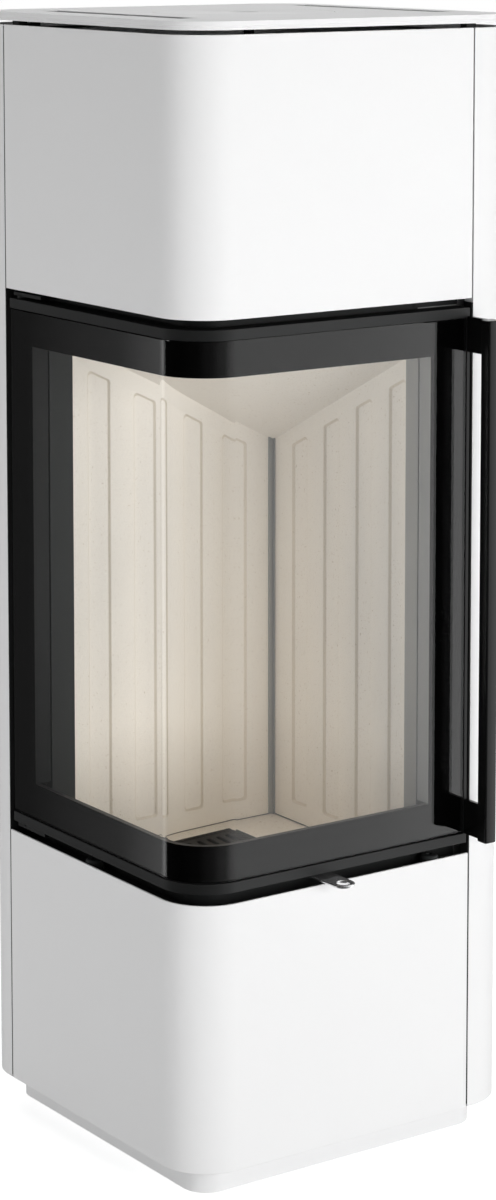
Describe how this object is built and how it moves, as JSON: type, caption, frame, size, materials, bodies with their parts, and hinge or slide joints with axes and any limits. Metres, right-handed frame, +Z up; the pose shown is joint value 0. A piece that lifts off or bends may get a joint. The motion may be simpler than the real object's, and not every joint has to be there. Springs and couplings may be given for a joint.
{
  "type": "wood stove",
  "caption": "Slim free-standing wood stove, square with rounded corners, white sheet casing and a black L-shaped door with one bent glass, opening on a lined fire chamber.",
  "frame": {"origin": "centre of the plinth's underside, on the floor", "axes": "+Z up, the front faces -Y, the door's short wing is on the left, at -X"},
  "size_m": [0.47, 0.5695, 1.3485],
  "materials": {
    "white_sheet": "matt white coating",
    "black_steel": "matt black heat-proof coating",
    "handle_black": "satin black coating",
    "grey_steel": "grey scaled steel",
    "raw_steel": "plain sheet steel",
    "polished_steel": "polished",
    "cream_stone": "matt pressed fire board",
    "cast_iron": "dark casting",
    "rope_seal": "woven glass rope",
    "rubber": "matt",
    "clear_glass": "clear glass ceramic"
  },
  "bodies": {
    "stove_body": {"plinth": "white_sheet", "lower_panel": "white_sheet", "upper_panel": "white_sheet", "right_side_panel": "white_sheet", "rear_left_panel": "white_sheet", "back_panel": "white_sheet", "top_plate": "white_sheet", "base_plate": "raw_steel", "levelling_foot_1": "raw_steel", "levelling_foot_2": "raw_steel", "levelling_foot_3": "raw_steel", "levelling_foot_4": "raw_steel", "stand": "raw_steel", "firebox_floor": "raw_steel", "firebox_back": "raw_steel", "firebox_right": "raw_steel", "firebox_top": "raw_steel", "ash_box": "raw_steel", "air_duct": "raw_steel", "air_box": "raw_steel", "smoke_box": "raw_steel", "lower_ledge": "black_steel", "upper_ledge": "black_steel", "top_frame": "black_steel", "sill": "black_steel", "lintel": "black_steel", "front_ledge": "black_steel", "flue_spigot": "black_steel", "hinge_bracket_bottom": "black_steel", "hinge_bracket_top": "black_steel", "top_spacer_1": "rubber", "top_spacer_2": "rubber", "top_spacer_3": "rubber", "top_spacer_4": "rubber", "left_jamb": "grey_steel", "right_jamb": "grey_steel", "corner_strip": "grey_steel", "door_rest_left": "grey_steel", "door_rest_front": "grey_steel", "back_lining": "cream_stone", "right_lining": "cream_stone", "baffle_plate": "cream_stone", "floor_stone_right": "cream_stone", "floor_stone_rear_right": "cream_stone", "floor_stone_rear_left": "cream_stone", "fire_bed": "cast_iron"},
    "door": {"door_top_rail": "black_steel", "door_bottom_rail": "black_steel", "door_hinge_stile": "black_steel", "door_lock_stile": "black_steel", "door_glass": "clear_glass", "door_seal": "rope_seal", "handle_bar": "handle_black", "handle_arm_top": "handle_black", "handle_arm_bottom": "handle_black"},
    "air_lever": {"air_lever": "polished_steel"},
    "grate": {"grate": "cast_iron"},
    "ash_pan": {"ash_pan": "grey_steel"},
    "flue_cover": {"flue_cover": "white_sheet"}
  },
  "joints": [
    {"name": "door_swing", "type": "hinge", "parent": "stove_body", "child": "door", "pos_m": [-0.222, 0.141, 0.685], "axis": [0, 0, -1], "range_deg": [0, 95]},
    {"name": "air_lever_slide", "type": "slide", "parent": "stove_body", "child": "air_lever", "axis": [0, -1, 0], "range_m": [0, 0.02]},
    {"name": "grate_lift", "type": "slide", "parent": "stove_body", "child": "grate", "axis": [0, 0, 1], "range_m": [0, 0.12]},
    {"name": "ash_pan_lift", "type": "slide", "parent": "stove_body", "child": "ash_pan", "axis": [0, 0, 1], "range_m": [0, 0.12]},
    {"name": "flue_cover_lift", "type": "slide", "parent": "stove_body", "child": "flue_cover", "axis": [0, 0, 1], "range_m": [0, 0.06]}
  ],
  "couplings": [
    {"joint": "ash_pan_lift", "follows": "grate_lift", "ratio": 1}
  ]
}
